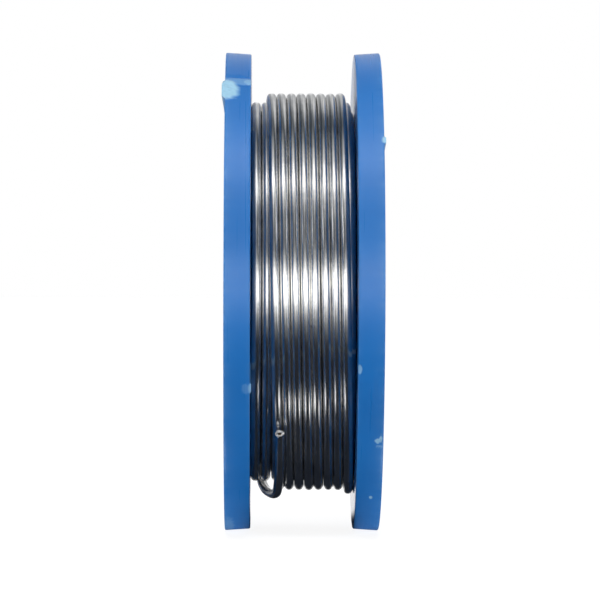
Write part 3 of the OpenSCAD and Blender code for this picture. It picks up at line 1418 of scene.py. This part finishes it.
@dataclass(frozen=True)
class Floor:
    """A white floor that keeps the reel's soft shadow, and lifts the shade beside the reel a little."""

    width: float = 30.0
    grey: Colour = (0.2, 0.2, 0.2)
    glow: float = 0.9
    lift: float = 0.75
    lift_outer: Span = (22.0 * MM, 9.0 * MM)
    lift_inner: Span = (5.0 * MM, 6.0 * MM)

    def matt(self, recipe: Recipe, glow: Value) -> Node:
        """A matt grey that glows with a strength.

        Args:
            recipe: The floor's node tree.
            glow: Strength of the glow.

        Returns:
            The shader.
        """
        grey = recipe.add("BsdfDiffuse", values={"Color": self.grey})
        lit = recipe.add("Emission", values={"Strength": glow})
        return recipe.add("AddShader", values={0: grey, 1: lit})

    def material(self) -> bpy.types.Material:
        """Makes the floor's material, which is white where it is seen and lights the reel softly.

        Returns:
            The material.
        """
        recipe = Recipe(bpy.data.materials.new("white_floor"))
        axes = recipe.axes((recipe.add("NewGeometry"), "Position"))
        aside = recipe.math("ABSOLUTE", (axes, "X"))
        outer = recipe.step(aside, self.lift_outer)
        strip = recipe.math("MULTIPLY", outer, recipe.step(aside, self.lift_inner))
        plain = self.matt(recipe, recipe.math("MULTIPLY", strip, self.lift))
        white = self.matt(recipe, self.glow)
        recipe.finish(recipe.add("MixShader", values={"Fac": seen_directly(recipe), 1: plain, 2: white}))
        return recipe.owner

    def build(self) -> None:
        """Lays the floor."""
        floor = added(bpy.ops.mesh.primitive_plane_add, "floor", size=self.width, location=(0, 0, FLOOR_Z))
        settle(floor)
        floor.data.materials.append(self.material())


@dataclass(frozen=True)
class Tone:
    """Brightness of the light tent at some degrees above the front horizon: near its middle and beside it."""

    degrees: float
    left: float
    near: float
    right: float


@dataclass(frozen=True)
class TablePatch:
    """A patch of the tent's table: its brightness, and its soft edges along X, either side, and along Y."""

    tone: float
    aside: Sequence[Span] = ()
    along: Sequence[Span] = ()


TENT_TONES = (
    Tone(-180, 0.5, 1.2, 0.5), Tone(-165, 0.4, 0.9, 0.4), Tone(-150, 0.1, 0.1, 0.1),
    Tone(-126, 0.01, 0.01, 0.01), Tone(-60, 0.005, 0.005, 0.005), Tone(-33, 0.007, 0.007, 0.007),
    Tone(-25, 0.02, 0.028, 0.02), Tone(-18, 0.04, 0.085, 0.04), Tone(-13, 0.08, 0.2, 0.08),
    Tone(-9, 0.16, 0.44, 0.16), Tone(-6, 0.42, 0.95, 0.42), Tone(-2, 1.7, 2.0, 1.7), Tone(9, 1.75, 1.9, 1.75),
    Tone(15, 0.42, 1.05, 0.42), Tone(20, 0.13, 0.38, 0.13), Tone(27, 0.045, 0.155, 0.045),
    Tone(36, 0.03, 0.07, 0.03), Tone(45, 0.06, 0.14, 0.06), Tone(55, 0.08, 0.25, 0.08),
    Tone(63, 0.42, 1.1, 0.42), Tone(70, 1.15, 2.5, 1.15), Tone(76, 0.42, 1.5, 0.42),
    Tone(83, 0.18, 0.75, 0.18), Tone(95, 0.09, 0.34, 0.09), Tone(106, 0.035, 0.09, 0.035),
    Tone(116, 0.018, 0.055, 0.055), Tone(126, 0.04, 0.105, 0.36), Tone(138, 0.085, 0.25, 0.65),
    Tone(148, 0.22, 0.36, 0.65), Tone(158, 0.32, 0.45, 0.45), Tone(168, 0.4, 1, 0.4),
    Tone(180, 0.5, 1.2, 0.5),
)
# Degrees above the horizon and brightness. The centre's degrees go on over the top to the back.
CENTRE_TONES = (
    (-180, 1.6), (-165, 0.9), (-150, 0.05), (-116, 0.02), (-62, 0.01), (-33, 0.02), (-17, 0.1), (-9, 0.5),
    (-4, 1.4), (9, 1.7), (19, 0.5), (28, 0.2), (36, 0.28), (54, 0.9), (64, 1.7), (73, 1.8), (82, 0.7),
    (94, 0.35), (106, 0.15), (117, 0.12), (129, 0.4), (141, 0.65), (156, 0.6), (168, 1.1), (180, 1.6),
)
WING_TONES = (
    (-90, 0.02), (-14, 0.03), (-5, 1.6), (-2, 2.4), (6, 2.4), (11, 0.25), (20, 0.1), (27, 1.6), (34, 1.6),
    (42, 0.12), (55, 0.12), (66, 0.6), (90, 0.6),
)
BESIDE_REEL = TablePatch(2.1, aside=[(7.2 * MM, 9.8 * MM)],
                         along=[(-24.4 * MM, -19.8 * MM), (-14.5 * MM, -18.5 * MM)])
BELOW_RIMS = TablePatch(0.06, aside=[(5.2 * MM, 5.8 * MM)], along=[(-14.0 * MM, -10.0 * MM)])
BEHIND_REEL = TablePatch(1.2, along=[(14.0 * MM, 34.0 * MM)])


@dataclass(frozen=True)
class LightTent:
    """A light tent over the reel, which shows in reflections only, with its floor just over the real one."""

    radius: float = 0.7
    middle: Point = (0, -19 * MM, -8 * MM)
    peak: float = 3.0
    cast: Colour = (0.0, 0.01, 0.022)
    tones: Sequence[Tone] = TENT_TONES
    centre: Sequence[Span] = CENTRE_TONES
    wings: Sequence[Span] = WING_TONES
    end_tone: float = 0.8
    centre_edge: Span = (0.08, 0.15)
    near_edge: Span = (0.28, 0.42)
    side_edge: Span = (0.6, 0.8)
    end_edge: Span = (0.97, 0.99)
    least_width: float = 0.15
    # Painted shadow of the reel on the tent's table, which shows in reflections.
    painted_reel_shadow: Colour = (0.012, 0.015, 0.022)
    patches: Sequence[TablePatch] = (BESIDE_REEL, BELOW_RIMS, BEHIND_REEL)
    table_front: float = -60.0 * MM
    above_floor: float = 0.05 * MM
    table_skin: float = 0.2 * MM

    def scale(self, recipe: Recipe, source: Source, stops: Sequence[Span], whole: float) -> Node:
        """A scale of tones over a value.

        Args:
            recipe: The tent's node tree.
            source: The value, which runs from 0 to 1.
            stops: Degrees and brightness of each tone.
            whole: Degrees that the value spans, with 0 in their middle.

        Returns:
            The scale, in shares of the tent's peak and with its cool cast.
        """
        shares = [(degrees / whole + 0.5, tuple((tone + cast) / self.peak for cast in self.cast))
                  for degrees, tone in stops]
        return recipe.ramp(source, shares)

    def overhead(self, recipe: Recipe, spot: Source) -> Node:
        """The tent's own brightness at a spot, by how high the spot stands and how far it is to one side.

        Args:
            recipe: The tent's node tree.
            spot: The place on the tent.

        Returns:
            The colour, in shares of the tent's peak.
        """
        away = recipe.add("VectorMath", {"operation": "SUBTRACT"}, {0: spot, 1: self.middle})
        aim = recipe.add("VectorMath", {"operation": "NORMALIZE"}, {0: away})
        axes = recipe.axes(aim)
        ahead = recipe.math("MULTIPLY", (axes, "Y"), -1.0)
        rise = recipe.math("ARCTAN2", (axes, "Z"), ahead)
        turn = recipe.math("ADD", recipe.math("MULTIPLY", rise, 1 / (2 * math.pi)), 0.5)
        steep = recipe.math("MULTIPLY", recipe.math("ARCSINE", (axes, "Z")), 1 / math.pi)
        height = recipe.math("ADD", steep, 0.5)
        aside = recipe.math("ABSOLUTE", (axes, "X"))
        width = recipe.math("COSINE", recipe.math("MULTIPLY", rise, 0.5))
        lean = recipe.math("DIVIDE", aside, recipe.math("MAXIMUM", width, self.least_width))
        left, near, right = (
            self.scale(recipe, turn, [(tone.degrees, getattr(tone, part)) for tone in self.tones], 360)
            for part in ("left", "near", "right"))
        on_right = recipe.math("GREATER_THAN", (axes, "X"), 0.0)
        whole = self.scale(recipe, turn, self.centre, 360)
        for value, edge, beyond in (
            (lean, self.centre_edge, near),
            (lean, self.near_edge, recipe.blend(on_right, left, right)),
            (aside, self.side_edge, self.scale(recipe, height, self.wings, 180)),
            (aside, self.end_edge, (self.end_tone / self.peak,) * 3),
        ):
            whole = recipe.blend(recipe.step(value, edge), whole, beyond)
        return whole

    def table(self, recipe: Recipe, spot: Source) -> tuple[Node, Node]:
        """The table that the reel stands on, with its lit patches and the dark of the reel's own shadow.

        Args:
            recipe: The tent's node tree.
            spot: The place on the tent.

        Returns:
            A value that is 1 on the table, and the table's colour in shares of the tent's peak.
        """
        axes = recipe.axes(spot)
        aside = recipe.math("ABSOLUTE", (axes, "X"))
        low = recipe.math("LESS_THAN", (axes, "Z"), FLOOR_Z + self.table_skin)
        near = recipe.math("GREATER_THAN", (axes, "Y"), self.table_front)
        brightest = None
        for patch in self.patches:
            edges = [recipe.step(aside, edge) for edge in patch.aside]
            edges += [recipe.step((axes, "Y"), edge) for edge in patch.along]
            lit = edges[0]
            for edge in edges[1:]:
                lit = recipe.math("MULTIPLY", lit, edge)
            tone = recipe.math("MULTIPLY", lit, patch.tone / self.peak)
            brightest = tone if brightest is None else recipe.math("MAXIMUM", brightest, tone)
        shade = tuple(part / self.peak for part in self.painted_reel_shadow)
        return recipe.math("MULTIPLY", low, near), recipe.ramp(brightest, [(0, shade), (1, WHITE)])

    def material(self) -> bpy.types.Material:
        """Makes the tent's material. Light that has already met a matt surface doesn't see it.

        Returns:
            The material.
        """
        recipe = Recipe(bpy.data.materials.new("light_tent"))
        spot = (recipe.add("NewGeometry"), "Position")
        overhead = self.overhead(recipe, spot)
        here, table = self.table(recipe, spot)
        first = recipe.math("LESS_THAN", (recipe.add("LightPath"), "Diffuse Depth"), 0.5)
        strength = recipe.math("MULTIPLY", first, self.peak)
        colour = recipe.blend(here, overhead, table)
        recipe.finish(recipe.add("Emission", values={"Color": colour, "Strength": strength}))
        return recipe.owner

    def build(self) -> None:
        """Sets up the tent, with its lower half pressed flat onto the table."""
        tent = added(bpy.ops.mesh.primitive_uv_sphere_add, "light_tent", segments=96, ring_count=48,
                     radius=self.radius)
        for vertex in tent.data.vertices:
            vertex.co.z = max(vertex.co.z, FLOOR_Z + self.above_floor)
        tent.data.materials.append(self.material())
        tent.visible_camera = False
        tent.visible_diffuse = False
        tent.visible_shadow = False
        tent.visible_transmission = False


@dataclass(frozen=True)
class Studio:
    """The plain surroundings: white where they show, with a soft light from all round the reel's rims.

    The ambient light is given by how far aside it comes from, where 1 is straight aside, and its brightness.
    """

    ambient: Sequence[Span] = ((0.0, 2.9), (0.11, 2.75), (0.17, 0.07), (1.0, 0.07))
    lamps: Sequence[Lamp] = LAMPS

    def world(self) -> None:
        """Makes the world."""
        world = bpy.data.worlds.new("studio")
        bpy.context.scene.world = world
        recipe = Recipe(world)
        axes = recipe.axes((recipe.add("TexCoord"), "Generated"))
        aside = recipe.math("ABSOLUTE", (axes, "X"))
        strength = recipe.ramp(aside, [(share, (tone,) * 3) for share, tone in self.ambient])
        white = recipe.add("Background", values={"Color": WHITE, "Strength": 1.0})
        soft = recipe.add("Background", values={"Color": strength, "Strength": 1.0})
        recipe.finish(recipe.add("MixShader", values={"Fac": seen_directly(recipe), 1: soft, 2: white}))
        world.cycles.sampling_method = "NONE"

    def build(self) -> None:
        """Sets up the whole studio, apart from the camera."""
        self.world()
        Floor().build()
        LightTent().build()
        for lamp in self.lamps:
            lamp.build()
        bpy.context.scene.view_settings.view_transform = "Standard"
        LOG.info("studio: %d lamps and a light tent", len(self.lamps))


LEFT_MARKS = (
    RimMark(144.9, 7.5 * MM, 1.68 * MM, 1.06 * MM, sunk=-0.12 * MM, pushed_out=0.32 * MM, pale=1.0),
    RimMark(148.7, 6.6 * MM, 0.66 * MM, 1.5 * MM, sunk=-0.04 * MM, pale=0.3, firm=6.0),
    RimMark(148.5, 5.65 * MM, 0.5 * MM, 0.42 * MM, sunk=-0.03 * MM, pale=0.6),
    RimMark(151.0, 6.7 * MM, 0.16 * MM, 1.3 * MM, sunk=0.1 * MM, crisp=2.0),
    RimMark(67.3, 5.42 * MM, 0.5 * MM, 0.2 * MM, pushed_out=-0.14 * MM, pale=0.6),
    RimMark(67.2, 5.8 * MM, 0.55 * MM, 0.4 * MM, sunk=0.03 * MM, pale=0.16),
    RimMark(14.0, 7.6 * MM, 3.6 * MM, 0.55 * MM, sunk=0.02 * MM, pale=0.22, crisp=1.5),
)
RIGHT_MARKS = (
    RimMark(127.4, 7.93 * MM, 0.42 * MM, 0.24 * MM, pushed_out=0.18 * MM, pale=0.9),
    RimMark(72.0, 5.52 * MM, 0.45 * MM, 0.22 * MM, sunk=0.05 * MM, pale=0.55),
    RimMark(53.4, 7.42 * MM, 0.3 * MM, 0.32 * MM, sunk=0.04 * MM, pale=0.7, firm=1.3, crisp=2.0),
    RimMark(53.9, 7.72 * MM, 0.42 * MM, 0.17 * MM, sunk=0.04 * MM, pale=0.75, firm=1.4, crisp=2.0),
    RimMark(51.9, 7.58 * MM, 0.1 * MM, 0.4 * MM, sunk=0.02 * MM, pale=0.45, firm=1.5),
    RimMark(33.2, 6.9 * MM, 0.3 * MM, 0.17 * MM, sunk=0.03 * MM, pale=0.65),
)


def main() -> None:
    """Builds the reel and its studio in order."""
    logging.basicConfig(level=logging.INFO, format="%(name)s: %(message)s")
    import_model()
    Viewpoint().build()
    wire = SolderWire()
    flux = FluxCore(wire).build(Rosin())
    wire.build(DrawnSolder(), flux)
    moulding = ReelMoulding()
    master = moulding.build()
    plastic = MouldedPlastic().make()
    for side, marks in ((Side.LEFT, LEFT_MARKS), (Side.RIGHT, RIGHT_MARKS)):
        ReelHalf(moulding, side, marks).build(master, plastic)
    bpy.data.objects.remove(master)
    Studio().build()


if __name__ == "__main__":
    main()
